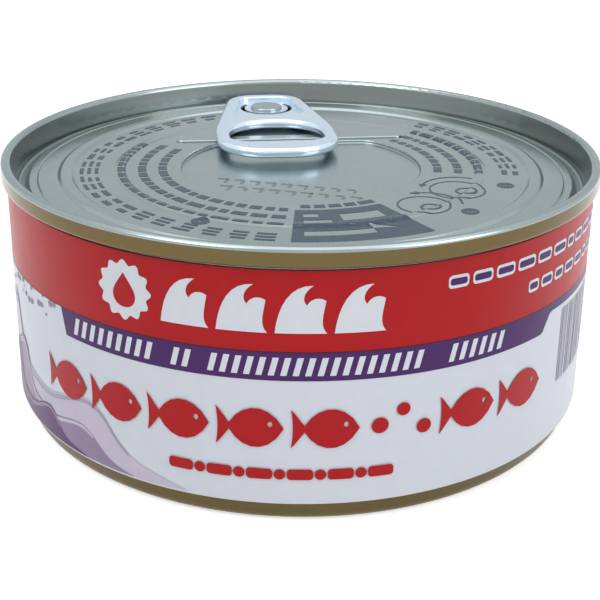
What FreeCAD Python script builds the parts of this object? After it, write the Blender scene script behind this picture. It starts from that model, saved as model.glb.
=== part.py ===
"""Round tuna can with a seamed easy-open end, a ring pull and a paper label.

Millimetres. +Z is up, and the origin is the centre of the foot ring, on the surface that the can
stands on. -Y is the front of the label. The pull tab points at the rim behind it.
"""
import FreeCAD, Part
import math
import os
import Sketcher

DIMENSIONS = [
    # alias, value, what it is
    ("can_height", 38.0, "foot ring to top of seam"),
    ("body_radius", 42.7, "outside of the steel wall"),
    ("fit_gap", 0.05, "gap between pieces that slide over each other"),
    ("seam_overhang", 0.95, "seam beyond the steel wall"),
    ("seam_height", 2.7, "top of seam to its lower edge"),
    ("seam_thickness", 1.4, "across the double seam"),
    ("seam_round", 0.6, "rounding of the seam's edges"),
    ("foot_inset", 1.1, "corner of the foot, inside the steel wall"),
    ("foot_width", 3.3, "corner of the foot to the inside of the foot ring"),
    ("foot_round", 2.0, "rounding at the foot"),
    ("taper_height", 5.0, "height at which the wall starts to draw in"),
    ("taper_round", 18.0, "rounding where the wall draws in"),
    ("base_depth", 2.2, "recess of the base above the foot"),
    ("base_slope", 0.8, "width of the slopes in the base"),
    ("base_round", 0.6, "rounding of the base's steps"),
    ("base_margin", 4.7, "foot ring to the lowered band in the base"),
    ("base_disc_radius", 23.5, "raised disc inside the lowered band"),
    ("base_band_depth", 0.5, "depth of that band"),
    ("chuck_lean", 0.75, "lean of the wall between seam and groove"),
    ("sink_drop", 0.9, "panel to the bottom of the countersink groove"),
    ("sink_width", 1.25, "width of the countersink groove"),
    ("sink_round", 0.5, "rounding of the countersink groove"),
    ("sink_slope", 0.3, "lean of the wall from the groove to the panel"),
    ("lid_floor", 0.35, "steel under the countersink"),
    ("panel_depth", 3.3, "top of seam to the lid's panel"),
    ("panel_round", 0.4, "rounding at the panel's edge"),
    ("score_inset", 1.25, "panel's edge to the score line that it tears along"),
    ("score_width", 0.4, "width of the score"),
    ("score_depth", 0.12, "depth of the score"),
    ("bead_inset", 4.1, "score to the middle of the main ring bead"),
    ("bead_width", 2.4, "width of the main ring bead"),
    ("bead_height", 0.4, "height of the main ring bead"),
    ("fine_bead_inset", 7.8, "main ring bead to the fine one"),
    ("fine_bead_width", 1.9, "width of the fine ring bead"),
    ("fine_bead_height", 0.2, "height of the fine ring bead"),
    ("bead_slope", 0.55, "width of a bead's flanks"),
    ("bead_round", 0.45, "rounding of the beads"),
    ("well_radius", 17.8, "finger well under the ring"),
    ("well_reach", 16.9, "rivet to the well's straight edge"),
    ("well_corner", 4.0, "rounding of the well's corners in plan"),
    ("well_depth", 0.5, "depth of the finger well"),
    ("well_round", 0.2, "rounding of the well's edges"),
    ("rib_reach", 14.9, "rivet to the middle of the stiffening rib"),
    ("rib_margin", 1.6, "end of the stiffening rib to the fine ring bead"),
    ("rib_width", 2.2, "width of the stiffening rib"),
    ("rib_height", 0.3, "height of the stiffening rib"),
    ("nose_margin", 1.6, "nose of the tab to the score"),
    ("rivet_bearing", 11.7, "turn of the rivet about the lid's axis, from the back"),
    ("tab_angle", 7.0, "turn of the pull tab about the rivet"),
    ("rivet_radius", 1.8, "stem of the rivet"),
    ("rivet_head_radius", 2.7, "head of the rivet"),
    ("rivet_head_height", 0.45, "height of the rivet's head"),
    ("boss_radius", 3.2, "raised boss that carries the tab"),
    ("tab_thickness", 1.6, "rolled hem of the tab"),
    ("tab_round", 0.72, "rounding of the hem"),
    ("tab_ring_reach", 28.0, "rivet to the ring end of the tab"),
    ("tab_nose_reach", 7.2, "rivet to the nose of the tab"),
    ("tab_half_width", 9.5, "half of the ring's width"),
    ("tab_shoulder", 14.5, "rivet to where the tab starts to narrow"),
    ("tab_nose_half", 6.0, "half of the nose's width before rounding"),
    ("ring_corner", 7.8, "rounding of the ring end in plan"),
    ("shoulder_round", 24.0, "rounding of the shoulder in plan"),
    ("nose_corner", 5.2, "rounding of the nose in plan"),
    ("ring_bar", 5.2, "width of the ring's front bar"),
    ("ring_side", 2.1, "width of the ring's sides"),
    ("hole_length", 12.0, "finger hole, along the tab"),
    ("hole_near_corner", 3.2, "rounding of the finger hole beside the bar"),
    ("hole_far_corner", 6.9, "rounding of the finger hole's arch"),
    ("web_gap", 3.6, "hem between the finger hole and the web"),
    ("web_edge", 2.2, "width of the hem beside the web"),
    ("web_under", 0.45, "web above the underside of the hem"),
    ("web_sheet", 0.4, "sheet of the web"),
    ("web_corner", 2.2, "rounding of the web in plan"),
    ("web_edge_round", 0.3, "rounding of the hem's inner edge"),
    ("lance_gap", 1.0, "rivet's head to the slot round it"),
    ("lance_width", 0.7, "width of that slot"),
    ("lance_opening", 110.0, "angle left uncut towards the nose"),
    ("label_sheet", 0.12, "thickness of the paper"),
    ("label_bottom", 3.4, "lower edge of the label"),
    ("label_top_gap", 0.35, "gap between the label and the seam"),
    ("lap_width", 9.0, "width of the glued lap at the back"),
]


# Places that several sub-parts share, in the sheet's names.
SEAM_RADIUS = "(body_radius + seam_overhang)"
UNDER_SEAM = "(can_height - seam_height)"
PANEL = "(can_height - panel_depth)"
SINK = "(can_height - panel_depth - sink_drop)"
SEAT = "(can_height - panel_depth - sink_drop - lid_floor)"
SINK_OUTER = "(body_radius + seam_overhang - seam_thickness - chuck_lean)"
PANEL_EDGE = "(%s - sink_width - sink_slope)" % SINK_OUTER
SCORE = "(%s - score_inset)" % PANEL_EDGE
BEAD = "(%s - bead_inset)" % SCORE
FINE_BEAD = "(%s - fine_bead_inset)" % BEAD
RIVET_OUT = "(%s - nose_margin - tab_nose_reach)" % SCORE
RIVET_X = "(-%s * sin(rivet_bearing * 1 deg))" % RIVET_OUT
RIVET_Y = "(%s * cos(rivet_bearing * 1 deg))" % RIVET_OUT
RIVET_ALONG = "(%s * cos((rivet_bearing - tab_angle) * 1 deg))" % RIVET_OUT
TAB_LIFT = "(bead_height + fit_gap)"
WELL_CHORD = "(%s - well_reach)" % RIVET_ALONG
LANCE_RADIUS = "(rivet_head_radius + lance_gap)"


def make_sheet(doc):
    """Put the driving dimensions in a spreadsheet, one alias each."""
    sheet = doc.addObject("Spreadsheet::Sheet", "Dims")
    for row, (alias, value, note) in enumerate(DIMENSIONS, start=1):
        sheet.set("A%d" % row, note)
        sheet.set("B%d" % row, str(value))
        sheet.setAlias("B%d" % row, alias)
    doc.recompute()
    return sheet


def bind(target, settings):
    """Bind properties to expressions in which every name is an alias of the sheet."""
    for prop, expression in settings.items():
        target.setExpression(prop, in_sheet(expression))


def in_sheet(expression):
    """Write an expression's names as cells of the sheet."""
    for alias, _value, _note in sorted(DIMENSIONS, key=lambda item: -len(item[0])):
        parts = expression.split(alias)
        joined = parts[0]
        for part in parts[1:]:
            whole_word = not (joined[-1:].isalnum() or joined[-1:] in ("_", "."))
            whole_word = whole_word and not (part[:1].isalnum() or part[:1] == "_")
            joined += ("Dims." if whole_word else "") + alias + part
        expression = joined
    return expression


def new_body(doc, label):
    """Start a body whose label names its file."""
    body = doc.addObject("PartDesign::Body", label)
    body.Label = label
    return body


def new_sketch(body, name, role):
    """Start a sketch on one of the body's own origin planes."""
    sketch = body.newObject("Sketcher::SketchObject", name)
    plane = next(item for item in body.Origin.OriginFeatures if item.Role == role)
    sketch.AttachmentSupport = [(plane, "")]
    sketch.MapMode = "FlatFace"
    return sketch


def size(sketch, kind, target, expression):
    """Hold a distance, an angle or a radius at an expression."""
    value = float(sketch.evalExpression(in_sheet(expression)))
    index = sketch.addConstraint(Sketcher.Constraint(kind, *target, value))
    sketch.setExpression("Constraints[%d]" % index, in_sheet(expression))


def fix_point(sketch, geometry, position, place):
    """Hold a point at expressions for its two sketch coordinates."""
    for kind, axis, expression in (("DistanceX", -2, place[0]), ("DistanceY", -1, place[1])):
        if expression == "0":
            sketch.addConstraint(Sketcher.Constraint("PointOnObject", geometry, position, axis))
        else:
            size(sketch, kind, (geometry, position), expression)


def add_outline(sketch, corners):
    """Draw a closed outline. A corner is (x, y) or (x, y, radius), all of them expressions.

    The corners go anticlockwise. Each straight side runs through its two corners, and a rounding
    is an arc that touches both of its sides.
    """
    places = [
        FreeCAD.Vector(*(float(sketch.evalExpression(in_sheet(part))) for part in corner[:2]), 0)
        for corner in corners
    ]
    count = len(corners)
    arrivals, departures, arcs = [], [], []
    for index, corner in enumerate(corners):
        here = places[index]
        if len(corner) == 2:
            arrivals.append(here)
            departures.append(here)
            arcs.append(None)
            continue
        radius = float(sketch.evalExpression(in_sheet(corner[2])))
        back = (places[index - 1] - here).normalize()
        ahead = (places[(index + 1) % count] - here).normalize()
        half = back.getAngle(ahead) / 2
        reach = radius / math.tan(half)
        centre = here + (back + ahead).normalize() * (radius / math.sin(half))
        arrivals.append(here + back * reach)
        departures.append(here + ahead * reach)
        turns_left = back.cross(ahead).z < 0
        first, last = (arrivals[-1], departures[-1]) if turns_left else (departures[-1], arrivals[-1])
        start = math.atan2(first.y - centre.y, first.x - centre.x)
        end = math.atan2(last.y - centre.y, last.x - centre.x)
        circle = Part.Circle(centre, FreeCAD.Vector(0, 0, 1), radius)
        arcs.append((Part.ArcOfCircle(circle, start, end), turns_left))
    sides = [
        sketch.addGeometry(Part.LineSegment(departures[index], arrivals[(index + 1) % count]), False)
        for index in range(count)
    ]
    for index, corner in enumerate(corners):
        before, after = sides[index - 1], sides[index]
        if arcs[index] is None:
            sketch.addConstraint(Sketcher.Constraint("Coincident", before, 2, after, 1))
            fix_point(sketch, after, 1, corner[:2])
            continue
        arc, turns_left = arcs[index]
        arc_id = sketch.addGeometry(arc, False)
        arc_start, arc_end = (1, 2) if turns_left else (2, 1)
        point = sketch.addGeometry(Part.Point(places[index]), True)
        sketch.addConstraint(Sketcher.Constraint("Tangent", before, 2, arc_id, arc_start))
        sketch.addConstraint(Sketcher.Constraint("Tangent", arc_id, arc_end, after, 1))
        sketch.addConstraint(Sketcher.Constraint("PointOnObject", point, 1, before))
        sketch.addConstraint(Sketcher.Constraint("PointOnObject", point, 1, after))
        fix_point(sketch, point, 1, corner[:2])
        size(sketch, "Radius", (arc_id,), corner[2])


def add_circle(sketch, radius):
    """Draw a circle about the sketch's origin."""
    circle = Part.Circle(FreeCAD.Vector(0, 0, 0), FreeCAD.Vector(0, 0, 1),
                         float(sketch.evalExpression(in_sheet(radius))))
    geometry = sketch.addGeometry(circle, False)
    sketch.addConstraint(Sketcher.Constraint("Coincident", geometry, 3, -1, 1))
    size(sketch, "Radius", (geometry,), radius)


def revolve(body, name, sketch):
    """Turn a profile all the way round the sketch's upright axis."""
    feature = body.newObject("PartDesign::Revolution", name)
    feature.Profile = sketch
    feature.ReferenceAxis = (sketch, ["V_Axis"])
    feature.Angle = 360.0
    sketch.Visibility = False
    return feature


def pad(body, name, sketch, length):
    """Raise a sketch by a length."""
    feature = body.newObject("PartDesign::Pad", name)
    feature.Profile = sketch
    feature.Type = 0
    bind(feature, {"Length": length})
    sketch.Visibility = False
    return feature


def pocket(body, name, sketch, length, upward=False):
    """Cut a sketch down, or up, by a length, and make sure that it cuts."""
    body.Document.recompute()
    before = body.Shape.Volume
    feature = body.newObject("PartDesign::Pocket", name)
    feature.Profile = sketch
    feature.Type = 0
    feature.Reversed = upward
    bind(feature, {"Length": length})
    sketch.Visibility = False
    body.Document.recompute()
    if body.Shape.Volume >= before:
        raise RuntimeError("%s cuts nothing" % name)
    return feature


def round_edges(body, name, radius, heights, keep=lambda edge: True):
    """Round the edges that lie flat at any of the heights."""
    body.Document.recompute()
    base = body.Tip
    levels = [float(base.evalExpression(in_sheet(height))) for height in heights]
    chosen = []
    for number, edge in enumerate(base.Shape.Edges, start=1):
        box = edge.BoundBox
        flat = any(abs(box.ZMin - level) < 1e-4 and abs(box.ZMax - level) < 1e-4 for level in levels)
        if flat and keep(edge):
            chosen.append("Edge%d" % number)
    feature = body.newObject("PartDesign::Fillet", name)
    feature.Base = (base, chosen)
    bind(feature, {"Radius": radius})
    return feature


def make_can_body(doc):
    """Drawn steel body, solid because it is shut, with its foot ring and stepped base."""
    body = new_body(doc, "can_body")
    profile = new_sketch(body, "BodyProfile", "XZ_Plane")
    foot = "(body_radius - foot_inset)"
    foot_inner = "(%s - foot_width)" % foot
    band_outer = "(%s - base_margin)" % foot_inner
    band = "(base_depth - base_band_depth)"
    add_outline(profile, [
        ("0", "base_depth"),
        ("base_disc_radius", "base_depth", "base_round"),
        ("base_disc_radius + base_slope", band, "base_round"),
        (band_outer + " - base_slope", band, "base_round"),
        (band_outer, "base_depth", "base_round"),
        (foot_inner + " - base_slope", "base_depth", "base_round"),
        (foot_inner, "0", "base_round"),
        (foot, "0", "foot_round"),
        ("body_radius", "taper_height", "taper_round"),
        ("body_radius", SEAT),
        ("0", SEAT),
    ])
    revolve(body, "BodyShell", profile)
    return body


def bead_corners(middle, width, height):
    """Corners of a raised ring bead, from its outer flank to its inner flank."""
    top = "%s + %s" % (PANEL, height)
    return [
        ("%s + %s / 2" % (middle, width), PANEL, "bead_round"),
        ("%s + %s / 2 - bead_slope" % (middle, width), top, "bead_round"),
        ("%s - %s / 2 + bead_slope" % (middle, width), top, "bead_round"),
        ("%s - %s / 2" % (middle, width), PANEL, "bead_round"),
    ]


def make_lid(doc):
    """Easy-open end with its double seam, countersink, beads, finger well, rib and rivet.

    The seam is folded from both sheets, so it is one ring with the lid, down to the lid's seat.
    """
    body = new_body(doc, "lid")
    profile = new_sketch(body, "LidProfile", "XZ_Plane")
    add_outline(profile, [
        ("0", SEAT),
        ("body_radius", SEAT),
        ("body_radius", UNDER_SEAM),
        (SEAM_RADIUS, UNDER_SEAM, "seam_round"),
        (SEAM_RADIUS, "can_height", "seam_round"),
        (SEAM_RADIUS + " - seam_thickness", "can_height", "seam_round"),
        (SINK_OUTER, SINK, "sink_round"),
        (SINK_OUTER + " - sink_width", SINK, "sink_round"),
        (PANEL_EDGE, PANEL, "panel_round"),
        (SCORE + " + score_width / 2", PANEL),
        (SCORE, PANEL + " - score_depth"),
        (SCORE + " - score_width / 2", PANEL),
        *bead_corners(BEAD, "bead_width", "bead_height"),
        *bead_corners(FINE_BEAD, "fine_bead_width", "fine_bead_height"),
        ("0", PANEL),
    ])
    revolve(body, "LidShell", profile)
    cut_finger_well(body)
    add_rib(body)
    add_rivet(body)
    return body


def cut_finger_well(body):
    """Sink the panel in front of the tab, so that a finger gets under the ring."""
    well = new_sketch(body, "FingerWell", "XY_Plane")
    bind(well, {"AttachmentOffset.Base.z": PANEL, "AttachmentOffset.Rotation.Angle": "tab_angle"})
    add_well_outline(well)
    pocket(body, "WellCut", well, "well_depth")
    inside = 1.01 * float(body.evalExpression("Dims.well_radius"))
    round_edges(body, "WellEdge", "well_round", [PANEL, PANEL + " - well_depth"],
                keep=lambda edge: edge.BoundBox.XMax < inside)


def add_rib(body):
    """Raise the straight rib between the well and the web of the tab."""
    rib = new_sketch(body, "RibOutline", "XY_Plane")
    bind(rib, {"AttachmentOffset.Base.z": PANEL, "AttachmentOffset.Rotation.Angle": "tab_angle"})
    near = "(%s - rib_reach - rib_width / 2)" % RIVET_ALONG
    far = "(%s - rib_reach + rib_width / 2)" % RIVET_ALONG
    limit = "(%s - fine_bead_width / 2 - rib_margin)" % FINE_BEAD
    half = "sqrt(%s * %s - %s * %s)" % (limit, limit, far, far)
    end_round = "0.48 * rib_width"
    add_outline(rib, [
        ("-" + half, near, end_round),
        (half, near, end_round),
        (half, far, end_round),
        ("-" + half, far, end_round),
    ])
    pad(body, "Rib", rib, "rib_height")
    round_edges(body, "RibEdge", "0.8 * rib_height", [PANEL + " + rib_height"])


def add_rivet(body):
    """Raise the boss that carries the tab's web, and the rivet through the web."""
    web = "(%s + %s + web_under)" % (PANEL, TAB_LIFT)
    levels = [
        ("Boss", "boss_radius", PANEL, TAB_LIFT + " + web_under"),
        ("Stem", "rivet_radius", web, "web_sheet"),
        ("Head", "rivet_head_radius", web + " + web_sheet", "rivet_head_height"),
    ]
    for name, radius, level, rise in levels:
        disc = new_sketch(body, name + "Circle", "XY_Plane")
        bind(disc, {
            "AttachmentOffset.Base.x": RIVET_X,
            "AttachmentOffset.Base.y": RIVET_Y,
            "AttachmentOffset.Base.z": level,
        })
        add_circle(disc, radius)
        pad(body, name, disc, rise)
    round_edges(body, "HeadEdge", "0.6 * rivet_head_height",
                [web + " + web_sheet + rivet_head_height"])


def add_well_outline(sketch):
    """Draw the finger well: most of a circle, cut off by a straight edge behind."""
    radius, chord, corner = (
        float(sketch.evalExpression(in_sheet(expression)))
        for expression in ("well_radius", WELL_CHORD, "well_corner")
    )
    axis = FreeCAD.Vector(0, 0, 1)
    inner_y = chord - corner
    inner_x = math.sqrt((radius - corner) ** 2 - inner_y ** 2)
    bearing = math.atan2(inner_y, inner_x)
    right = FreeCAD.Vector(inner_x, inner_y, 0)
    left = FreeCAD.Vector(-inner_x, inner_y, 0)
    edge = sketch.addGeometry(Part.LineSegment(
        FreeCAD.Vector(inner_x, chord, 0), FreeCAD.Vector(-inner_x, chord, 0)), False)
    left_arc = sketch.addGeometry(Part.ArcOfCircle(
        Part.Circle(left, axis, corner), math.pi / 2, math.pi - bearing), False)
    main = sketch.addGeometry(Part.ArcOfCircle(
        Part.Circle(FreeCAD.Vector(0, 0, 0), axis, radius), math.pi - bearing,
        2 * math.pi + bearing), False)
    right_arc = sketch.addGeometry(Part.ArcOfCircle(
        Part.Circle(right, axis, corner), bearing, math.pi / 2), False)
    joins = [(edge, 2, left_arc, 1), (left_arc, 2, main, 1), (main, 2, right_arc, 1),
             (right_arc, 2, edge, 1)]
    for first, first_end, second, second_end in joins:
        sketch.addConstraint(
            Sketcher.Constraint("Tangent", first, first_end, second, second_end))
    sketch.addConstraint(Sketcher.Constraint("Coincident", main, 3, -1, 1))
    sketch.addConstraint(Sketcher.Constraint("Horizontal", edge))
    size(sketch, "Radius", (main,), "well_radius")
    size(sketch, "Radius", (left_arc,), "well_corner")
    size(sketch, "Radius", (right_arc,), "well_corner")
    size(sketch, "DistanceY", (edge, 1), WELL_CHORD)


def mirrored(right_side):
    """Close an outline from its right side, given from the ring end to the nose."""
    left_side = [("-(%s)" % corner[0], *corner[1:]) for corner in reversed(right_side)]
    return right_side + left_side


def half_width_at(along):
    """Half of the tab's width at a place along its narrowing sides."""
    share = "(%s + tab_shoulder) / (tab_nose_reach + tab_shoulder)" % along
    return "(tab_half_width - (tab_half_width - tab_nose_half) * %s)" % share


def make_pull_tab(doc):
    """Ring pull: rolled hem, finger hole, sunk web and the slot round the rivet.

    The tab is drawn about its rivet, with the nose at +Y, and then turned into place.
    """
    body = new_body(doc, "pull_tab")
    outline = new_sketch(body, "TabOutline", "XY_Plane")
    add_outline(outline, mirrored([
        ("tab_half_width", "-tab_ring_reach", "ring_corner"),
        ("tab_half_width", "-tab_shoulder", "shoulder_round"),
        ("tab_nose_half", "tab_nose_reach", "nose_corner"),
    ]))
    pad(body, "TabBlank", outline, "tab_thickness")

    hole = new_sketch(body, "HoleOutline", "XY_Plane")
    bind(hole, {"AttachmentOffset.Base.z": "tab_thickness"})
    hole_half = "tab_half_width - ring_side"
    hole_near = "-tab_ring_reach + ring_bar"
    hole_far = "-tab_ring_reach + ring_bar + hole_length"
    add_outline(hole, mirrored([
        (hole_half, hole_near, "hole_near_corner"),
        (hole_half, hole_far, "hole_far_corner"),
    ]))
    pocket(body, "FingerHole", hole, "tab_thickness")
    hem_round = "min(tab_round; 0.45 * tab_thickness)"
    round_edges(body, "Hem", hem_round, ["0", "tab_thickness"])

    web_near = "(-tab_ring_reach + ring_bar + hole_length + web_gap)"
    web_far = "(tab_nose_reach - web_edge)"
    web_corners = mirrored([
        (half_width_at(web_near) + " - web_edge", web_near, "web_corner"),
        (half_width_at(web_far) + " - web_edge", web_far, "web_corner"),
    ])
    cuts = [
        ("WebTop", "tab_thickness", "tab_thickness - web_under - web_sheet", False),
        ("WebUnder", "0", "web_under", True),
    ]
    for name, level, depth, upward in cuts:
        web = new_sketch(body, name + "Outline", "XY_Plane")
        bind(web, {"AttachmentOffset.Base.z": level})
        add_outline(web, web_corners)
        pocket(body, name, web, depth, upward)
    cut_rivet_slot(body)
    set_down_tab(body)
    return body


def cut_rivet_slot(body):
    """Cut the rivet's hole and the lanced slot that lets the tab bend."""
    stem = new_sketch(body, "RivetHole", "XY_Plane")
    bind(stem, {"AttachmentOffset.Base.z": "tab_thickness"})
    add_circle(stem, "rivet_radius + fit_gap")
    pocket(body, "RivetCut", stem, "tab_thickness")

    lance = new_sketch(body, "LanceOutline", "XY_Plane")
    bind(lance, {"AttachmentOffset.Base.z": "tab_thickness"})
    add_slot_arc(lance)
    pocket(body, "Lance", lance, "tab_thickness")


def add_slot_arc(sketch):
    """Draw a curved slot about the rivet, open towards the nose."""
    inner, width, opening = (
        float(sketch.evalExpression(in_sheet(expression)))
        for expression in (LANCE_RADIUS, "lance_width", "lance_opening")
    )
    axis = FreeCAD.Vector(0, 0, 1)
    centre = FreeCAD.Vector(0, 0, 0)
    start = math.radians(90 + opening / 2)
    end = math.radians(450 - opening / 2)
    middle = inner + width / 2

    def at(radius, angle):
        return FreeCAD.Vector(radius * math.cos(angle), radius * math.sin(angle), 0)

    inside = sketch.addGeometry(Part.ArcOfCircle(Part.Circle(centre, axis, inner), start, end), False)
    outside = sketch.addGeometry(
        Part.ArcOfCircle(Part.Circle(centre, axis, inner + width), start, end), False)
    first_cap = sketch.addGeometry(Part.ArcOfCircle(
        Part.Circle(at(middle, start), axis, width / 2), start + math.pi, start + 2 * math.pi), False)
    last_cap = sketch.addGeometry(Part.ArcOfCircle(
        Part.Circle(at(middle, end), axis, width / 2), end, end + math.pi), False)
    joins = [(inside, 1, first_cap, 1), (outside, 1, first_cap, 2), (outside, 2, last_cap, 1),
             (inside, 2, last_cap, 2)]
    for first, first_end, second, second_end in joins:
        sketch.addConstraint(
            Sketcher.Constraint("Tangent", first, first_end, second, second_end))
    sketch.addConstraint(Sketcher.Constraint("Coincident", inside, 3, -1, 1))
    sketch.addConstraint(Sketcher.Constraint("Coincident", outside, 3, -1, 1))
    side = "((%s + lance_width / 2) * sin(lance_opening / 2 * 1 deg))" % LANCE_RADIUS
    size(sketch, "Radius", (inside,), LANCE_RADIUS)
    size(sketch, "Radius", (outside,), LANCE_RADIUS + " + lance_width")
    size(sketch, "DistanceX", (first_cap, 3), "-" + side)
    size(sketch, "DistanceX", (last_cap, 3), side)


def set_down_tab(body):
    """Soften the hem's inner edge, and set the tab down on the rivet boss."""
    web_start = float(body.evalExpression(in_sheet("-tab_ring_reach + ring_bar + hole_length")))
    round_edges(body, "WebEdge", "web_edge_round", ["tab_thickness"],
                keep=lambda edge: edge.BoundBox.YMin > web_start)
    body.Placement = FreeCAD.Placement(
        FreeCAD.Vector(0, 0, 0), FreeCAD.Rotation(FreeCAD.Vector(0, 0, 1), 1.0))
    bind(body, {
        "Placement.Base.x": RIVET_X,
        "Placement.Base.y": RIVET_Y,
        "Placement.Base.z": "%s + %s" % (PANEL, TAB_LIFT),
        "Placement.Rotation.Angle": "tab_angle",
    })


def make_label(doc):
    """Paper label round the wall, with a glued lap at the back."""
    body = new_body(doc, "label")
    wrap = new_sketch(body, "WrapProfile", "XZ_Plane")
    inside = "body_radius + fit_gap"
    outside = "body_radius + fit_gap + label_sheet"
    top = UNDER_SEAM + " - label_top_gap"
    add_outline(wrap, [
        (inside, "label_bottom"),
        (outside, "label_bottom"),
        (outside, top),
        (inside, top),
    ])
    revolve(body, "Wrap", wrap)

    lap = new_sketch(body, "LapProfile", "YZ_Plane")
    lapped = "body_radius + fit_gap + 2 * label_sheet"
    bottom = "label_bottom"
    add_outline(lap, [
        (outside, bottom),
        (lapped, bottom),
        (lapped, top),
        (outside, top),
    ])
    turn = body.newObject("PartDesign::Revolution", "Lap")
    turn.Profile = lap
    turn.ReferenceAxis = (lap, ["V_Axis"])
    bind(turn, {"Angle": "lap_width / body_radius * 180 / pi"})
    lap.Visibility = False
    return body


def check(doc, bodies):
    """Stop if any object failed or any sub-part has no sound solid."""
    for item in doc.Objects:
        if "Invalid" in item.State or "Error" in item.State:
            raise RuntimeError("%s failed: %s" % (item.Name, item.State))
    for body in bodies:
        shape = body.Shape
        if shape.isNull() or not shape.isValid() or len(shape.Solids) != 1:
            raise RuntimeError("%s has no sound solid" % body.Label)


def main():
    doc = FreeCAD.newDocument("TunaCan")
    make_sheet(doc)
    bodies = [make_can_body(doc), make_lid(doc), make_pull_tab(doc), make_label(doc)]
    doc.recompute()
    check(doc, bodies)
    os.makedirs("parts", exist_ok=True)
    for body in bodies:
        body.Shape.exportStep(os.path.join("parts", body.Label + ".step"))
        print(body.Label, round(body.Shape.Volume, 1), body.Shape.BoundBox)


main()
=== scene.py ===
import math
import random

import bmesh
import bpy
from mathutils import Matrix, Vector
from mathutils.bvhtree import BVHTree
from mathutils.geometry import tessellate_polygon


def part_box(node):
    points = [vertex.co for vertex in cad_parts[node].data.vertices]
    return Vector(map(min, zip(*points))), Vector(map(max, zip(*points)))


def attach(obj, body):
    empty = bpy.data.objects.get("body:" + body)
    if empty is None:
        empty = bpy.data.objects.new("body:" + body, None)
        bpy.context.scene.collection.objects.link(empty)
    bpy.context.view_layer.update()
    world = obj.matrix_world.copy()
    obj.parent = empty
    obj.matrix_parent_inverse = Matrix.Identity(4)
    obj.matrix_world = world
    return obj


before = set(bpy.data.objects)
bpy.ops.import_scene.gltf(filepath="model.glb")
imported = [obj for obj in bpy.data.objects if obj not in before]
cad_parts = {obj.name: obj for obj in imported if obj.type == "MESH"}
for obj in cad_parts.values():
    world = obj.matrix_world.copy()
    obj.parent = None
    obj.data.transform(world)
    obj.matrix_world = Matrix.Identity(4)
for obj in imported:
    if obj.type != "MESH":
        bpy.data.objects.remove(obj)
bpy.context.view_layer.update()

MM = 0.001

# Places read from the frame, in millimetres. The label's lap is at its back, so its front is round.
LABEL_LOW, LABEL_HIGH = (corner[2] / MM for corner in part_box("label"))
LABEL_FRONT = [vertex.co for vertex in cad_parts["label"].data.vertices if vertex.co.y < 0]
LABEL_RADIUS = max(math.hypot(place.x, place.y) for place in LABEL_FRONT) / MM
LAP_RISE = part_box("label")[1][1] / MM - LABEL_RADIUS
CAN_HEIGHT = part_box("lid")[1][2] / MM
SEAM_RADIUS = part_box("lid")[1][0] / MM
HALF_GIRTH = math.pi * LABEL_RADIUS

# Sizes as in the CAD, in millimetres.
LAP_WIDTH = 9.0
SEAM_HEIGHT, SEAM_THICKNESS, SEAM_ROUND, CHUCK_LEAN = 2.7, 1.4, 0.6, 0.75
PANEL_DEPTH = 3.3

# Print sits this far off what it is printed on: the first layer, each further one, and on the lid. The
# painted shade of the stamped dents sits the last distance off the lid.
FIRST_INK = 0.02
INK_STEP = 0.014
LID_INK, STAMP_LIFT = 0.03, 0.02

# The seam's lacquer skin, off the CAD's mesh outside and inside.
SKIN_OUT, SKIN_IN = 0.012, 0.04

# Spacing of the cuts that let flat print follow the label and the lid.
LABEL_GRID, LID_GRID = 1.0, 0.45
TINY = 1e-9

# What the camera and the lamps are turned to, in metres.
AIM = Vector((0.0, 0.0, 0.02))


def srgb(red, green, blue):
    """A colour as seen, 0 to 255, as the linear values that a shader takes."""
    def linear(value):
        value = value / 255
        return value / 12.92 if value <= 0.04045 else ((value + 0.055) / 1.055) ** 2.4
    return (linear(red), linear(green), linear(blue), 1.0)


# ---------------------------------------------------------------- shader helpers

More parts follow.
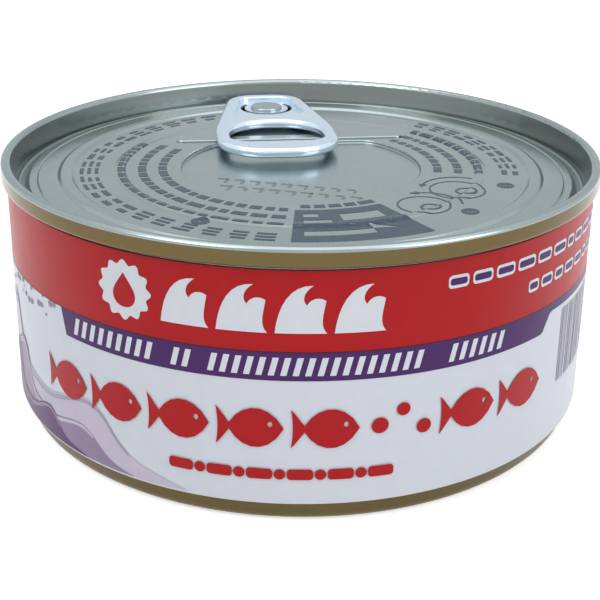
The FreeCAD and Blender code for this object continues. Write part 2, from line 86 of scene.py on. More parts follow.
class Shader:
    """A material's node tree, with short ways to add and link nodes."""

    def __init__(self, name):
        self.material = bpy.data.materials.new(name)
        self.material.use_nodes = True
        self.tree = self.material.node_tree
        self.surface = self.tree.nodes["Principled BSDF"]

    def add(self, kind, inputs=(), **settings):
        """Add a node. An input is (socket, value or another node's output)."""
        node = self.tree.nodes.new(kind)
        for name, value in settings.items():
            setattr(node, name, value)
        for socket, value in inputs:
            self.put(node.inputs[socket], value)
        return node

    def put(self, socket, value):
        """Set a socket, or link an output to it."""
        if isinstance(value, bpy.types.NodeSocket):
            self.tree.links.new(value, socket)
        else:
            socket.default_value = value

    def maths(self, operation, first, second=0.0, clamp=False):
        """One Math node's result."""
        node = self.add("ShaderNodeMath", [(0, first), (1, second)], operation=operation)
        node.use_clamp = clamp
        return node.outputs[0]

    def ramp(self, value, low, high):
        """Smooth step of a value from 0 at low to 1 at high."""
        node = self.add("ShaderNodeMapRange", [("Value", value), ("From Min", low), ("From Max", high)],
                        interpolation_type="SMOOTHSTEP")
        return node.outputs["Result"]

    def between(self, value, low, high):
        """Straight map of 0 to 1 onto low to high."""
        node = self.add("ShaderNodeMapRange", [("Value", value), ("To Min", low), ("To Max", high)])
        return node.outputs["Result"]

    def blend(self, factor, first, second, kind="MIX"):
        """Mix two colours."""
        node = self.add("ShaderNodeMix", data_type="RGBA", blend_type=kind)
        self.put(node.inputs[0], factor)
        self.put(node.inputs[6], first)
        self.put(node.inputs[7], second)
        return node.outputs[2]

    def place(self, stretch=(1.0, 1.0, 1.0)):
        """Object coordinates in millimetres, stretched."""
        coordinates = self.add("ShaderNodeTexCoord").outputs["Object"]
        scale = tuple(factor / MM for factor in stretch)
        return self.add("ShaderNodeMapping", [("Vector", coordinates), ("Scale", scale)]).outputs[0]

    def noise(self, where, scale, detail=3.0, roughness=0.55):
        """Noise of a scale given in waves per millimetre of its coordinates."""
        node = self.add("ShaderNodeTexNoise", [("Vector", where), ("Scale", scale),
                                               ("Detail", detail), ("Roughness", roughness)])
        return node.outputs["Fac"]

    def bump(self, height, distance_mm, strength, under=None):
        """Bump from a height field, on top of another bump if given."""
        inputs = [("Height", height), ("Distance", distance_mm * MM), ("Strength", strength)]
        if under is not None:
            inputs.append(("Normal", under))
        return self.add("ShaderNodeBump", inputs).outputs["Normal"]

    def radius_and_height(self):
        """Distance from the can's axis, and height, in millimetres."""
        where = self.place()
        split = self.add("ShaderNodeSeparateXYZ", [(0, where)]).outputs
        square = self.maths("ADD", self.maths("MULTIPLY", split[0], split[0]),
                            self.maths("MULTIPLY", split[1], split[1]))
        return self.maths("SQRT", square), split[2]

    def round_place(self, round_about, up):
        """Coordinates that run round the can: (angle in radians, 0, height), each stretched."""
        split = self.add("ShaderNodeSeparateXYZ", [(0, self.place())]).outputs
        angle = self.maths("ARCTAN2", split[0], self.maths("MULTIPLY", split[1], -1.0))
        parts = [(0, self.maths("MULTIPLY", angle, round_about)), (2, self.maths("MULTIPLY", split[2], up))]
        return self.add("ShaderNodeCombineXYZ", parts).outputs[0]

    def seam_mask(self, reach, drop):
        """1 outside a radius and under a height, given in from the seam's outside and down from its
        top. Each is a pair: where the change starts and where it ends."""
        radius, height = self.radius_and_height()
        outside = self.ramp(radius, SEAM_RADIUS - reach[0], SEAM_RADIUS - reach[1])
        above = self.ramp(height, CAN_HEIGHT - drop[0], CAN_HEIGHT - drop[1])
        return self.maths("MULTIPLY", outside, self.maths("SUBTRACT", 1.0, above))

    def finish(self, color, roughness, normal=None, **constants):
        """Wire the surface. Constants go on the shader's own sockets."""
        self.put(self.surface.inputs["Base Color"], color)
        self.put(self.surface.inputs["Roughness"], roughness)
        if normal is not None:
            self.put(self.surface.inputs["Normal"], normal)
        for name, value in constants.items():
            self.surface.inputs[name.replace("_", " ")].default_value = value
        return self.material


# ---------------------------------------------------------------- materials

# Where the lid turns golden, and where painted shade darkens its inner wall: in from the seam's outside,
# down from its top.
GOLD_REACH, GOLD_DROP = (0.75, 0.6), (0.62, 0.5)
PAINTED_SHADE_REACH, PAINTED_SHADE_DROP, PAINTED_SHADE_AMOUNT = (2.45, 2.2), (0.75, 0.4), 0.8
# Where the label's rim is red, down from its upper edge.
RIM_BAND = (0.1, 0.05)
# Share of white that the floor adds for the camera and in reflections.
FLOOR_GLOW = 0.6


def lacquered_steel():
    """Lid: clear-lacquered tinplate, with golden lacquer outside the seam and painted shade darkening the
    wall inside.
    """
    shader = Shader("lacquered_steel")
    cloud = shader.noise(shader.place(), 0.06, 4.0)
    rolled = shader.noise(shader.place((1.0, 0.04, 1.0)), 1.6, 3.0)
    speck = shader.noise(shader.place(), 6.0, 2.0, 0.7)
    silver = shader.blend(cloud, srgb(150, 162, 162), srgb(166, 178, 180))
    silver = shader.blend(shader.between(rolled, 0.0, 0.2), silver, srgb(128, 139, 135))
    # Painted shade: the lid's inner wall under the seam is darkened towards a grey-green.
    painted_wall_shade = shader.maths("MULTIPLY", shader.seam_mask(PAINTED_SHADE_REACH, PAINTED_SHADE_DROP), PAINTED_SHADE_AMOUNT)
    silver = shader.blend(painted_wall_shade, silver, srgb(112, 118, 113))
    gold = shader.blend(speck, srgb(106, 91, 57), srgb(86, 74, 46))
    scuff = shader.ramp(shader.noise(shader.round_place(12.0, 0.9), 1.0, 5.0, 0.75), 0.62, 0.74)
    gold = shader.blend(shader.maths("MULTIPLY", scuff, 0.55), gold, srgb(56, 46, 29))
    color = shader.blend(shader.seam_mask(GOLD_REACH, GOLD_DROP), silver, gold)
    wave = shader.bump(shader.noise(shader.place(), 0.13, 1.0), 0.4, 0.1)
    grain = shader.bump(rolled, 0.008, 0.15, wave)
    roughness = shader.between(shader.noise(shader.place(), 0.4, 4.0), 0.16, 0.27)
    return shader.finish(color, roughness, grain, Metallic=0.92, Coat_Weight=0.1, Coat_Roughness=0.12)


def gold_steel():
    """Body: drawn tinplate under a golden lacquer, with faint marks of the drawing."""
    shader = Shader("gold_steel")
    cloud = shader.noise(shader.place(), 0.09, 4.0)
    drawn = shader.noise(shader.round_place(60.0, 0.1), 1.0, 3.0, 0.7)
    color = shader.blend(cloud, srgb(88, 76, 46), srgb(102, 88, 56))
    color = shader.blend(shader.between(drawn, 0.0, 0.3), color, srgb(68, 57, 35))
    speck = shader.bump(shader.noise(shader.place(), 2.2, 3.0), 0.03, 0.2)
    roughness = shader.between(shader.noise(shader.place(), 0.5, 4.0), 0.26, 0.42)
    return shader.finish(color, roughness, speck, Metallic=0.85, Specular_IOR_Level=0.2)


def tab_metal():
    """Pull tab: bright rolled metal with fine lines along the strip it was pressed from, tinted blue as a
    painted reflection of bluish light.
    """
    shader = Shader("tab_metal")
    lines = shader.noise(shader.place((1.0, 0.05, 1.0)), 5.0, 3.0, 0.65)
    # The blue tint of both colours is a painted reflection of bluish light.
    color = shader.blend(lines, srgb(200, 219, 240), srgb(229, 239, 248))
    dents = shader.bump(shader.noise(shader.place(), 0.35, 2.0), 0.25, 0.2)
    grain = shader.bump(lines, 0.01, 0.25, dents)
    roughness = shader.between(shader.noise(shader.place(), 0.9, 4.0), 0.14, 0.26)
    return shader.finish(color, roughness, grain, Metallic=0.8)


def paper(name, light, dark, gloss=0.3, rim=None):
    """Glossy printed paper in one ink, with the slight mottle of print and a paper's waviness.

    The rim is the colour of the label's upper edge."""
    shader = Shader(name)
    mottle = shader.noise(shader.place(), 0.5, 5.0, 0.7)
    color = shader.blend(mottle, dark, light)
    if rim is not None:
        height = shader.radius_and_height()[1]
        edge = shader.ramp(height, LABEL_HIGH - RIM_BAND[0], LABEL_HIGH - RIM_BAND[1])
        color = shader.blend(edge, color, rim)
    ripple = shader.bump(shader.noise(shader.place((1.0, 1.0, 0.35)), 0.09, 2.0), 0.35, 0.1)
    fibre = shader.bump(shader.noise(shader.place(), 3.0, 2.0), 0.01, 0.12, ripple)
    roughness = shader.between(shader.noise(shader.place(), 0.3, 3.0), gloss, gloss + 0.12)
    return shader.finish(color, roughness, fibre, Specular_IOR_Level=0.16, Coat_Weight=0.08,
                         Coat_Roughness=0.2)


def lid_ink_and_painted_shade(name, color, thin):
    """Ink on lacquered metal, worn thin in places. Also the painted shade of stamped dents."""
    shader = Shader(name)
    wear = shader.ramp(shader.noise(shader.place(), 0.8, 5.0, 0.75), 0.35, 0.8)
    mixed = shader.blend(shader.maths("MULTIPLY", wear, thin), color, srgb(126, 140, 146))
    grain = shader.bump(shader.noise(shader.place((1.0, 0.04, 1.0)), 1.6, 3.0), 0.02, 0.2)
    roughness = shader.between(wear, 0.25, 0.4)
    return shader.finish(mixed, roughness, grain, Metallic=0.3, Specular_IOR_Level=0.2,
                         Coat_Weight=0.05, Coat_Roughness=0.2)


def floor_surface():
    """Pale floor: white to the camera and in reflections, and still takes the can's shadow."""
    shader = Shader("floor_surface")
    rays = shader.add("ShaderNodeLightPath").outputs
    seen = shader.maths("MAXIMUM", rays["Is Camera Ray"], rays["Is Glossy Ray"])
    seen = shader.maths("MAXIMUM", seen, rays["Is Transmission Ray"])
    grain = shader.noise(shader.place(), 0.02, 2.0)
    color = shader.blend(grain, (0.80, 0.80, 0.80, 1.0), (0.83, 0.83, 0.83, 1.0))
    shader.put(shader.surface.inputs["Emission Color"], (1.0, 1.0, 1.0, 1.0))
    shader.put(shader.surface.inputs["Emission Strength"], shader.maths("MULTIPLY", seen, FLOOR_GLOW))
    return shader.finish(color, 0.9)


# ---------------------------------------------------------------- flat shapes, in millimetres

def box(x, y, width, height, corner=0.0, steps=5):
    """Rectangle about a centre, with rounded corners."""
    corner = min(corner, width / 2, height / 2)
    loop = []
    for quarter, (side, end) in enumerate(((1, 1), (-1, 1), (-1, -1), (1, -1))):
        middle = (x + side * (width / 2 - corner), y + end * (height / 2 - corner))
        if corner == 0:
            loop.append(middle)
            continue
        for step in range(steps + 1):
            angle = math.pi / 2 * (quarter + step / steps)
            loop.append((middle[0] + corner * math.cos(angle), middle[1] + corner * math.sin(angle)))
    return loop


def span(left, right, low, high):
    """Rectangle between its sides."""
    return [(left, low), (right, low), (right, high), (left, high)]


def disc(x, y, radius, steps=40):
    """Circle."""
    turns = (2 * math.pi * step / steps for step in range(steps))
    return [(x + radius * math.cos(turn), y + radius * math.sin(turn)) for turn in turns]


def stroke(points, width):
    """A line of even width along points."""
    left, right = [], []
    for index, point in enumerate(points):
        before = points[max(index - 1, 0)]
        after = points[min(index + 1, len(points) - 1)]
        length = math.hypot(after[0] - before[0], after[1] - before[1])
        across = (-(after[1] - before[1]) / length * width / 2, (after[0] - before[0]) / length * width / 2)
        left.append((point[0] + across[0], point[1] + across[1]))
        right.append((point[0] - across[0], point[1] - across[1]))
    return left + right[::-1]


def arc_points(x, y, radius, start, end, steps=24):
    """Points along an arc, angles in degrees."""
    turns = (math.radians(start + (end - start) * step / steps) for step in range(steps + 1))
    return [(x + radius * math.cos(turn), y + radius * math.sin(turn)) for turn in turns]


def curve_points(corners, steps=14):
    """Points along a chain of cubic curves, given as start, then two handles and an end each."""
    points = [corners[0]]
    for index in range(0, len(corners) - 1, 3):
        a, b, c, d = corners[index:index + 4]
        for step in range(1, steps + 1):
            t = step / steps
            u = 1 - t
            weights = (u * u * u, 3 * u * u * t, 3 * u * t * t, t * t * t)
            points.append(tuple(sum(w * p[axis] for w, p in zip(weights, (a, b, c, d)))
                                for axis in (0, 1)))
    return points


def moved(loop, x, y, scale=1.0, turn=0.0):
    """A loop scaled, turned by degrees and moved."""
    cosine, sine = math.cos(math.radians(turn)) * scale, math.sin(math.radians(turn)) * scale
    return [(x + cosine * px - sine * py, y + sine * px + cosine * py) for px, py in loop]


# ---------------------------------------------------------------- meshes from flat shapes

def cut_to_grid(mesh, axis, spacing):
    """Split a flat mesh along evenly spaced lines, so that it can follow a curved surface."""
    values = [vertex.co[axis] for vertex in mesh.verts]
    normal = Vector((1.0, 0.0, 0.0)) if axis == 0 else Vector((0.0, 1.0, 0.0))
    line = math.floor(min(values) / spacing) + 1
    while line * spacing < max(values):
        everything = mesh.verts[:] + mesh.edges[:] + mesh.faces[:]
        bmesh.ops.bisect_plane(mesh, geom=everything, dist=1e-5, plane_co=normal * (line * spacing),
                               plane_no=normal)
        line += 1


def flat_mesh(loops, spacings):
    """Fill one shape, whose further loops are holes, and cut it to a grid."""
    mesh = bmesh.new()
    points = [point for loop in loops for point in loop]
    vertices = [mesh.verts.new((x, y, 0.0)) for x, y in points]
    flat = [[Vector((x, y, 0.0)) for x, y in loop] for loop in loops]
    for triangle in tessellate_polygon(flat):
        corners = [vertices[index] for index in triangle]
        area = (corners[1].co - corners[0].co).cross(corners[2].co - corners[0].co).z
        if abs(area) > TINY:
            mesh.faces.new(corners if area > 0 else corners[::-1])
    for axis, spacing in enumerate(spacings):
        if spacing:
            cut_to_grid(mesh, axis, spacing)
    return mesh


def print_piece(name, shapes, material, spacings, put):
    """Join shapes into one object, each vertex placed by put(x, y)."""
    whole = bmesh.new()
    for loops in shapes:
        part = flat_mesh(loops if isinstance(loops[0][0], (tuple, list)) else [loops], spacings)
        remap = {vertex: whole.verts.new(put(vertex.co.x, vertex.co.y)) for vertex in part.verts}
        for face in part.faces:
            whole.faces.new([remap[vertex] for vertex in face.verts])
        part.free()
    data = bpy.data.meshes.new(name)
    whole.to_mesh(data)
    whole.free()
    data.materials.append(material)
    for polygon in data.polygons:
        polygon.use_smooth = True
    piece = bpy.data.objects.new(name, data)
    bpy.context.scene.collection.objects.link(piece)
    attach(piece, "root")


def on_label(name, shapes, material, layer, rise=0.0):
    """Print shapes on the label. x runs round the can from the front, y is the height."""
    radius = (LABEL_RADIUS + rise + FIRST_INK + layer * INK_STEP) * MM

    def put(x, y):
        angle = x / LABEL_RADIUS
        return (radius * math.sin(angle), -radius * math.cos(angle), y * MM)

    print_piece(name, shapes, material, (LABEL_GRID, None), put)


def lid_surface():
    """The lid's mesh, to lay print on."""
    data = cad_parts["lid"].data
    return BVHTree.FromPolygons([vertex.co[:] for vertex in data.vertices],
                                [polygon.vertices[:] for polygon in data.polygons])


def on_lid(name, shapes, material, lift=LID_INK):
    """Print shapes on the lid's panel, seen from above, over its beads and steps."""
    surface = lid_surface()

    def put(x, y):
        hit = surface.ray_cast(Vector((x * MM, y * MM, 0.1)), Vector((0.0, 0.0, -1.0)))[0]
        return (x * MM, y * MM, hit.z + lift * MM)

    print_piece(name, shapes, material, (LID_GRID, LID_GRID), put)


def degrees_round(angle):
    """Length round the label for an angle from the front."""
    return math.radians(angle) * LABEL_RADIUS


# ---------------------------------------------------------------- label print

# Lower edges of the red field, of the violet band, and of the strip that goes on round the can.
RED_LOW, BAND_LOW, STRIP_LOW = 24.4, 20.6, 23.2
# Where the band starts and steps up to the strip, and where the strip ends.
BAND_START, BAND_STEP = degrees_round(-46.0), degrees_round(48.5)
STEP_ROUND = 2.0
STRIP_END = (degrees_round(-118), STRIP_LOW), (degrees_round(-108), RED_LOW)
# Half the width of the dark line between red and violet, and the paper left bare at an edge.
TRAP = 0.08
EDGE_GAP, TOP_GAP = 0.02, 0.01
# Rows of marks: their heights on the label, and the sizes of what stands in them.
CREST_FOOT, CREST_START, CREST_PITCH, CREST_SCALE = 26.9, degrees_round(-23.0), 7.15, 0.98
SEAL_X, SEAL_Y, SEAL_RADIUS, SEAL_WAVE, SEAL_WAVES = degrees_round(-30.0), 29.9, 3.7, 0.3, 12
BAR_FOOT, BAR_HEAD, BAR_WIDTH, BAR_LEAN, BAR_PITCH = 21.3, 23.7, 0.75, 0.6, 1.5
FISH_ROW, FISH_LENGTH, FISH_DEPTH = 14.1, 8.5, 1.3
DASH_ROW, DASH_LENGTH, DASH_WIDTH, DASH_ROUND, DOT_RADIUS = 7.7, 3.3, 1.5, 0.5, 0.75
BLOCK_MIDDLE, BLOCK_HEIGHT, BLOCK_BARS = 16.9, 11.0, 34
NOTE_LENGTHS, NOTE_GAP = (1.5, 3.0), 1.1
BACK_TOP, BACK_PITCH, BACK_ROWS = 20.4, 1.7, 9


def label_fields():
    """Red field, violet band with its step, and the thin line between them."""
    back = HALF_GIRTH - EDGE_GAP
    lap = -back + LAP_WIDTH
    top = LABEL_HIGH - TOP_GAP
    lower = arc_points(BAND_STEP - STEP_ROUND * 0.4, BAND_LOW + STEP_ROUND * 0.45, STEP_ROUND * 0.45,
                       -90, -20, steps=8)
    upper = arc_points(BAND_STEP + STEP_ROUND * 1.05, STRIP_LOW - STEP_ROUND * 0.6, STEP_ROUND * 0.6,
                       150, 90, steps=8)
    band = [(BAND_START, RED_LOW), (BAND_START + 0.9, BAND_LOW), *lower, *upper,
            (back, STRIP_LOW), (back, RED_LOW)]
    strip = [(lap, RED_LOW), (lap, STRIP_LOW), *STRIP_END]
    for name, left, right, violet_name, violet, rise in (
            ("label", lap, back, "band", [band, strip], 0.0),
            ("lap", -back, lap, "strip", [span(-back, lap, STRIP_LOW, RED_LOW)], LAP_RISE)):
        trap = span(left, right, RED_LOW - TRAP, RED_LOW + TRAP)
        on_label(name + "_red_field", [span(left, right, RED_LOW, top)], INKS["red"], 1, rise)
        on_label(name + "_violet_" + violet_name, violet, INKS["violet"], 1, rise)
        on_label(name + "_trap_line", [trap], INKS["maroon"], 2, rise)


def wave_line(start, end, foot, crest, length, lean, phase, drop=0.0, steps=150):
    """Top edge of a row of rolling waves, which sinks to the label's edge at its right end."""
    points = []
    for step in range(steps + 1):
        share = step / steps
        fade = 1 - share ** 2.2
        swell = (0.5 + 0.5 * math.sin(2 * math.pi * (share * (end - start) / length + phase))) ** 1.8
        x = start + share * (end - start) + lean * swell * fade
        floor = LABEL_LOW + 0.35
        points.append((x, floor + (foot - floor + crest * swell) * fade - drop * fade))
    return points


def label_sea():
    """Rolling sea in violet tones at the left of the label, with foam lines and spray."""
    left, right = degrees_round(-118), degrees_round(-19)
    floor = LABEL_LOW + 0.3
    rows = (("pale", 14.5, 9.3, 26.0, 5.0, 0.02), ("lavender", 11.0, 8.0, 20.0, 4.4, 0.4),
            ("plum", 8.6, 8.0, 15.5, 4.0, 0.12))
    for index, (ink, foot, crest, length, lean, phase) in enumerate(rows):
        end = right - 8.0 * index
        top = wave_line(left, end, foot, crest, length, lean, phase)
        outline = [(left, floor), (end + 0.1, floor), *top[::-1]]
        on_label("label_wave_%s" % ink, [outline], INKS[ink], 2 + 2 * index)
        foam = [stroke(wave_line(left, end, foot, crest, length, lean, phase, drop)[4:-18], 0.25)
                for drop in (0.8, 1.4)]
        on_label("label_foam_%s" % ink, foam, INKS[("lilac", "pale", "lavender")[index]], 3 + 2 * index)
    draw = random.Random(3)
    spray = []
    for _ in range(26):
        x, y = degrees_round(draw.uniform(-84, -47)), draw.uniform(21.5, 24.2)
        spray.append(disc(x, y, draw.uniform(0.18, 0.5), 14))
    on_label("label_spray", spray, INKS["lavender"], 3)


def fish(x, y, length, depth):
    """A plain fish. Depth is its girth against its length."""
    body = curve_points([(0.5, 0), (0.28, 0.34), (-0.12, 0.3), (-0.3, 0.04),
                         (-0.36, 0.1), (-0.44, 0.2), (-0.5, 0.24),
                         (-0.46, 0.1), (-0.46, -0.1), (-0.5, -0.24),
                         (-0.44, -0.2), (-0.36, -0.1), (-0.3, -0.04),
                         (-0.12, -0.3), (0.28, -0.34), (0.5, 0)], steps=7)[:-1]
    eye = disc(0.3, 0.05, 0.035, 10)
    return [[(x + px * length, y + py * length * depth) for px, py in loop] for loop in (body, eye)]


def label_marks():
    """Rows of plain marks that stand where a label has its words."""
    crest = curve_points([(0, 0), (0.4, 3.6), (1.8, 6.4), (4.7, 6.3),
                          (3.5, 5.5), (3.2, 4.4), (3.9, 3.7),
                          (4.3, 4.6), (5.4, 4.9), (6.2, 4.3),
                          (5.9, 2.4), (5.4, 1.0), (6.4, 0)], steps=8)
    crests = [moved(crest, CREST_START + CREST_PITCH * index, CREST_FOOT, CREST_SCALE)
              for index in range(4)]
    on_label("label_crests", crests, INKS["white"], 3)

    seal = []
    for turn in range(0, 360, 3):
        reach = SEAL_RADIUS + SEAL_WAVE * math.cos(math.radians(SEAL_WAVES * turn))
        seal.append((SEAL_X + reach * math.cos(math.radians(turn)),
                     SEAL_Y + reach * math.sin(math.radians(turn))))
    drop = curve_points([(0, 2.3), (1.0, 0.9), (1.7, 0.1), (1.7, -0.7), (1.7, -1.8), (0.8, -2.3),
                         (0, -2.3), (-0.8, -2.3), (-1.7, -1.8), (-1.7, -0.7), (-1.7, 0.1),
                         (-1.0, 0.9), (0, 2.3)], steps=6)[:-1]
    on_label("label_seal", [[seal, moved(drop, SEAL_X, SEAL_Y)]], INKS["white"], 3)

    bars = []
    for start, count in ((-42.5, 9), (-21.5, 2), (-15.0, 18), (25.5, 6)):
        for index in range(count):
            x = degrees_round(start) + BAR_PITCH * index
            bars.append([(x, BAR_FOOT), (x + BAR_WIDTH, BAR_FOOT),
                         (x + BAR_WIDTH + BAR_LEAN, BAR_HEAD), (x + BAR_LEAN, BAR_HEAD)])
    on_label("label_band_bars", bars, INKS["white"], 3)

    school = [fish(degrees_round(angle), FISH_ROW, FISH_LENGTH, FISH_DEPTH)
              for angle in (-45.5, -33, -20.5, -8, 4.5, 30, 42.5)]
    drops = [disc(degrees_round(angle), FISH_ROW + rise, radius, 20)
             for angle, rise, radius in ((13.6, 0.0, 1.1), (17.6, 1.9, 0.9), (21.4, -0.9, 1.0))]
    on_label("label_fish_row", school + drops, INKS["red"], 9)

    dashes = [box(degrees_round(angle), DASH_ROW, DASH_LENGTH, DASH_WIDTH, DASH_ROUND)
              for angle in (-20, -13.2, -6.4, 0.4, 7.2, 14)]
    dots = [disc(degrees_round(angle), DASH_ROW, DOT_RADIUS, 16)
            for angle in (-16.6, -9.8, -3.0, 3.8, 10.6)]
    on_label("label_dash_row", dashes + dots, INKS["red"], 9)


def label_notes():
    """Small print at the right: dashes in white edged with violet, and the bar block."""
    draw = random.Random(5)
    outer, inner = [], []
    for y, start, end in ((32.0, 25.0, 76.0), (28.4, 43.0, 76.0)):
        x = degrees_round(start)
        while x < degrees_round(end):
            length = draw.uniform(*NOTE_LENGTHS)
            outer.append(box(x + length / 2, y, length + 0.5, 1.7, 0.5))
            inner.append(box(x + length / 2, y, length, 0.9, 0.35))
            x += length + NOTE_GAP
    on_label("label_note_edges", outer, INKS["white"], 3)
    on_label("label_note_dashes", inner, INKS["violet"], 4)

    bars = []
    x = degrees_round(55.5)
    for index in range(BLOCK_BARS):
        width = (0.28, 0.5, 0.36, 0.75)[(index * 7 + index // 3) % 4]
        bars.append(box(x + width / 2, BLOCK_MIDDLE, width, BLOCK_HEIGHT))
        x += width + (0.35, 0.62, 0.45)[(index * 5) % 3]
    on_label("label_bar_block", bars, INKS["lilac"], 3)

    rows = []
    for row in range(BACK_ROWS):
        y = BACK_TOP - BACK_PITCH * row
        for start, end in ((96, 112), (114, 140), (142, 168)):
            length = degrees_round(end) - degrees_round(start)
            length *= draw.uniform(0.55, 0.98)
            rows.append(box(degrees_round(start) + length / 2, y, length, 0.6, 0.25))
    on_label("label_back_rows", rows, INKS["plum"], 3)


# ---------------------------------------------------------------- lid print

def polar(radius, angle):
    """Place on the lid. Angles run anticlockwise from +X, the front is -90."""
    return (radius * math.cos(math.radians(angle)), radius * math.sin(math.radians(angle)))


def arc_bar(radius, start, end, width, steps=None):
    """A bar bent along a circle about the can's axis."""
    steps = steps or max(2, int(abs(end - start) / 2))
    outer = [polar(radius + width / 2, start + (end - start) * step / steps) for step in range(steps + 1)]
    inner = [polar(radius - width / 2, start + (end - start) * step / steps) for step in range(steps + 1)]
    return outer + inner[::-1]


def dash_arc(draw, radius, start, end, width, shortest, longest, gap):
    """Dashes of uneven length along an arc."""
    bars = []
    angle = start
    way = 1 if end > start else -1
    while way * (end - angle) > 0:
        length = math.degrees(draw.uniform(shortest, longest) / radius)
        bars.append(arc_bar(radius, angle, angle + way * length, width))
        angle += way * (length + math.degrees(gap / radius))
    return bars


def glyph_arc(draw, radius, start, end, height, width, gap):
    """Blocks of two or three short bars along an arc, as large as big print."""
    bars = []
    angle = start
    way = 1 if end > start else -1
    turn = math.degrees(width / radius)
    while way * (end - angle) > 0:
        count = draw.choice((2, 3, 3))
        pitch = height / count
        for row in range(count):
            level = radius - height / 2 + pitch * (row + 0.5)
            share = draw.uniform(0.6, 1.0)
            bars.append(arc_bar(level, angle, angle + way * turn * share, pitch * 0.52))
        angle += way * (turn + math.degrees(gap / radius))
    return bars


def lid_print():
    """Ring of plain marks, a dark plate with an arrow, step dots and two small drawings."""
    draw = random.Random(11)
    marks = glyph_arc(draw, 31.3, -95.5, -238.0, 3.2, 2.8, 0.9)
    marks += glyph_arc(draw, 31.0, -7.0, 50.0, 3.2, 2.5, 0.8)
    for radius in (26.6, 23.6, 20.6):
        marks += dash_arc(draw, radius, -94.5, -200.0, 1.25, 1.1, 2.8, 0.6)
        marks += dash_arc(draw, radius - 0.2, -8.0, 44.0, 1.25, 1.1, 2.6, 0.6)
    marks += dash_arc(draw, 19.2, -90.0, -62.0, 1.2, 1.2, 2.4, 0.5)
    on_lid("lid_marks", marks, INKS["navy"])

    plate = arc_bar(26.9, -92.0, -58.5, 12.4, steps=24)
    shaft = arc_bar(29.8, -89.0, -71.0, 1.7)
    head = [polar(32.4, -71.0), polar(27.2, -71.0), polar(29.8, -64.0)]
    arrow = shaft[:len(shaft) // 2] + head + shaft[len(shaft) // 2:]
    holes = [arrow, arc_bar(25.4, -89.0, -80.5, 1.3), arc_bar(22.9, -89.0, -84.0, 1.3),
             arc_bar(24.0, -77.0, -63.0, 2.6)]
    on_lid("lid_plate", [[plate, *holes]], INKS["navy"])

    discs = []
    for radius, angle, dots in ((28.6, -117.0, 1), (30.6, -42.0, 2), (30.6, -17.0, 3)):
        x, y = polar(radius, angle)
        spots = [disc(x + 0.62 * (index - (dots - 1) / 2), y, 0.24, 10) for index in range(dots)]
        discs.append([disc(x, y, 1.25, 24), *spots])
    on_lid("lid_step_dots", discs, INKS["navy"])

    lines = []
    for radius, angle, size, lift in ((24.6, -47.0, 3.6, 20.0), (24.8, -27.0, 3.9, 60.0)):
        x, y = polar(radius, angle)
        turn = angle + 90
        can = arc_points(0, 0, size, 0, 360, 30)
        ring = arc_points(0, -size * 0.35, size * 0.36, 0, 360, 20)
        sweep = arc_points(size * 0.2, 0, size * 1.35, lift - 60, lift + 40, 18)
        for points, width in ((can, 0.28), (ring, 0.4), (sweep, 0.34)):
            lines.append(stroke(moved(points, x, y, turn=turn), width))
        tip = sweep[-1]
        barb = []
        for reach, spread in ((1.1, 0), (0.7, 110), (0.7, -110)):
            bearing = math.radians(lift + 130 + spread)
            barb.append((tip[0] + reach * math.cos(bearing), tip[1] + reach * math.sin(bearing)))
        lines.append(moved(barb, x, y, turn=turn))
    on_lid("lid_drawings", lines, INKS["grey_blue"])

    # Painted shade: the stamped dents are grey marks laid just over the panel.
    dents = []
    for row in range(2):
        for index in range(9):
            width = draw.uniform(1.1, 2.0)
            x, y = -11.2 + 2.3 * index + 0.6 * row, -5.6 - 0.58 * index - 3.3 * row
            dents.append(moved(box(0, 0, width, 0.55, 0.25), x, y, turn=-15))
            dents.append(moved(box(0, 0, 0.5, width, 0.25), x + 0.5, y - 0.9, turn=-15))
    on_lid("lid_stamp_painted_shade", dents, INKS["shade"], lift=STAMP_LIFT)


# ---------------------------------------------------------------- seam

def seam_profile(steps=10):
    """The seam's outline in (radius, height), from under its lip over the top and down inside."""
    outer, inner = SEAM_RADIUS, SEAM_RADIUS - SEAM_THICKNESS
    low = CAN_HEIGHT - SEAM_HEIGHT
    corners = ((outer - SEAM_ROUND, low + SEAM_ROUND, -90, 0),
               (outer - SEAM_ROUND, CAN_HEIGHT - SEAM_ROUND, 0, 90),
               (inner + SEAM_ROUND, CAN_HEIGHT - SEAM_ROUND, 90, 170))
    points = []
    for index, (x, y, start, end) in enumerate(corners):
        reach = SEAM_ROUND + (SKIN_OUT if index < 2 else SKIN_IN)
        points += arc_points(x, y, reach, start, end, steps)
    foot = (inner - CHUCK_LEAN * 0.8 - SKIN_IN, CAN_HEIGHT - PANEL_DEPTH - 0.1)
    last = points[-1]
    points += [(last[0] + (foot[0] - last[0]) * step / 6, last[1] + (foot[1] - last[1]) * step / 6)
               for step in range(1, 7)]
    return points


def add_seam_skin(material, turns=256):
    """Smooth lacquer skin over the seam, turned about the can's axis."""
    profile = seam_profile()
    vertices, faces = [], []
    for turn in range(turns):
        angle = 2 * math.pi * turn / turns
        vertices += [(r * math.cos(angle) * MM, r * math.sin(angle) * MM, z * MM) for r, z in profile]
    count = len(profile)
    for turn in range(turns):
        here, there = turn * count, (turn + 1) % turns * count
        faces += [(here + k, there + k, there + k + 1, here + k + 1) for k in range(count - 1)]
    data = bpy.data.meshes.new("seam_skin")
    data.from_pydata(vertices, [], faces)
    data.materials.append(material)
    for polygon in data.polygons:
        polygon.use_smooth = True
    skin = bpy.data.objects.new("seam_skin", data)
    bpy.context.scene.collection.objects.link(skin)
    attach(skin, "root")


# ---------------------------------------------------------------- stage

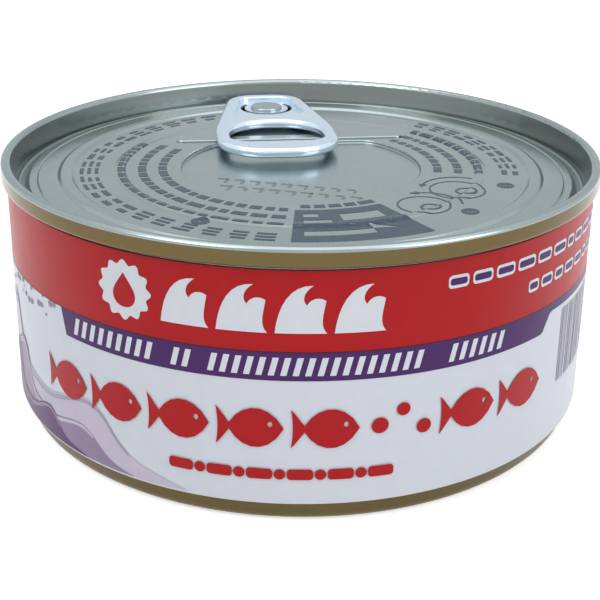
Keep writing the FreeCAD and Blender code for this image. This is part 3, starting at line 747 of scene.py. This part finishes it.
def add_camera():
    """Camera in front of the can, looking down on it."""
    distance, elevation, tilt, roll = 0.1835, math.radians(21.3), math.radians(0.79), math.radians(0.6)
    ahead = Vector((0.0, math.cos(elevation - tilt), -math.sin(elevation - tilt)))
    right = Vector((1.0, 0.0, 0.0))
    up = right.cross(ahead)
    turned_right = right * math.cos(roll) + up * math.sin(roll)
    turned_up = up * math.cos(roll) - right * math.sin(roll)
    frame_axes = Matrix((turned_right, turned_up, -ahead)).transposed().to_4x4()
    place = AIM + Vector((0.0, -math.cos(elevation), math.sin(elevation))) * distance
    data = bpy.data.cameras.new("camera")
    data.lens = 71.4
    data.sensor_width = 36.0
    data.shift_y = -0.1
    data.clip_start = 0.01
    camera = bpy.data.objects.new("camera", data)
    camera.matrix_world = Matrix.Translation(place) @ frame_axes
    bpy.context.scene.collection.objects.link(camera)
    bpy.context.scene.camera = camera


def add_light(name, place, size, power, color=(1.0, 1.0, 1.0)):
    """Soft box that faces the can."""
    data = bpy.data.lights.new(name, "AREA")
    data.shape = "RECTANGLE"
    data.size, data.size_y = size
    data.energy = power
    data.color = color
    lamp = bpy.data.objects.new(name, data)
    direction = AIM - Vector(place)
    lamp.matrix_world = Matrix.Translation(place) @ direction.to_track_quat("-Z", "Y").to_matrix().to_4x4()
    lamp.visible_camera = False
    bpy.context.scene.collection.objects.link(lamp)


def add_plane(name, corners, material):
    """One four-cornered staging sheet."""
    data = bpy.data.meshes.new(name)
    data.from_pydata(corners, [], [(0, 1, 2, 3)])
    data.materials.append(material)
    sheet = bpy.data.objects.new(name, data)
    bpy.context.scene.collection.objects.link(sheet)
    return sheet


def reflection_card(name, corners, dim, bright):
    """Sheet that shows only in reflections, for the metal to mirror."""
    shader = Shader(name)
    shade = shader.blend(shader.noise(shader.place(), 0.004, 1.0), dim, bright)
    shader.put(shader.surface.inputs["Emission Color"], shade)
    shader.surface.inputs["Emission Strength"].default_value = 1.0
    card = add_plane(name, corners, shader.finish((0.0, 0.0, 0.0, 1.0), 0.9))
    card.visible_camera = False
    card.visible_diffuse = False
    card.visible_shadow = False


def add_stage():
    """Floor, lamps and the white surroundings."""
    reach = 3.0
    add_plane("floor", [(-reach, -reach, 0), (reach, -reach, 0), (reach, reach, 0), (-reach, reach, 0)],
              floor_surface())
    reflection_card("back_card", [(-0.9, 0.8, 0.02), (0.9, 0.8, 0.02), (0.9, 0.8, 0.7), (-0.9, 0.8, 0.7)],
                    (0.62, 0.66, 0.68, 1.0), (0.76, 0.8, 0.82, 1.0))
    add_light("key", (-0.45, -0.4, 0.65), (0.45, 0.45), 2.0)
    add_light("fill", (0.6, -0.4, 0.45), (0.5, 0.5), 2.2, (0.97, 0.99, 1.0))
    add_light("top", (0.0, -0.08, 0.6), (0.8, 0.7), 1.9, (0.97, 1.0, 1.0))
    world = bpy.data.worlds.new("surroundings")
    bpy.context.scene.world = world
    world.use_nodes = True
    nodes, links = world.node_tree.nodes, world.node_tree.links
    rays = nodes.new("ShaderNodeLightPath")
    seen = nodes.new("ShaderNodeMath")
    seen.operation = "MAXIMUM"
    links.new(rays.outputs["Is Camera Ray"], seen.inputs[0])
    links.new(rays.outputs["Is Glossy Ray"], seen.inputs[1])
    seen_too = nodes.new("ShaderNodeMath")
    seen_too.operation = "MAXIMUM"
    links.new(seen.outputs[0], seen_too.inputs[0])
    links.new(rays.outputs["Is Transmission Ray"], seen_too.inputs[1])
    strength = nodes.new("ShaderNodeMapRange")
    links.new(seen_too.outputs[0], strength.inputs["Value"])
    strength.inputs["To Min"].default_value = 0.45
    strength.inputs["To Max"].default_value = 1.0
    background = nodes["Background"]
    background.inputs["Color"].default_value = (1.0, 1.0, 1.0, 1.0)
    links.new(strength.outputs["Result"], background.inputs["Strength"])


# ---------------------------------------------------------------- the scene

add_camera()
INKS = {
    "red": paper("red_ink", srgb(170, 6, 15), srgb(161, 5, 13)),
    "violet": paper("violet_ink", srgb(70, 32, 96), srgb(60, 26, 84)),
    "maroon": paper("maroon_ink", srgb(74, 14, 26), srgb(60, 10, 22)),
    "white": paper("white_ink", srgb(212, 215, 222), srgb(202, 206, 214)),
    "pale": paper("pale_violet_ink", srgb(196, 190, 206), srgb(184, 176, 196)),
    "lavender": paper("lavender_ink", srgb(150, 134, 160), srgb(134, 116, 146)),
    "plum": paper("plum_ink", srgb(92, 60, 104), srgb(78, 46, 92)),
    "lilac": paper("lilac_ink", srgb(168, 160, 182), srgb(150, 142, 166)),
    "navy": lid_ink_and_painted_shade("navy_ink", srgb(48, 68, 84), 0.2),
    "grey_blue": lid_ink_and_painted_shade("grey_blue_ink", srgb(56, 72, 84), 0.3),
    # Painted shade of the stamped dents, made like an ink.
    "shade": lid_ink_and_painted_shade("painted_stamp_shade", srgb(108, 120, 122), 0.3),
}
NODE_MATERIALS = {
    "can_body": gold_steel(),
    "lid": lacquered_steel(),
    "pull_tab": tab_metal(),
    "label": paper("label_paper", srgb(208, 212, 221), srgb(199, 204, 214), rim=srgb(150, 8, 16)),
}
for node_name, finish in NODE_MATERIALS.items():
    for material_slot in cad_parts[node_name].material_slots:
        material_slot.material = finish

add_seam_skin(NODE_MATERIALS["lid"])
label_fields()
label_sea()
label_marks()
label_notes()
lid_print()
add_stage()

bpy.context.scene.view_settings.view_transform = "Standard"
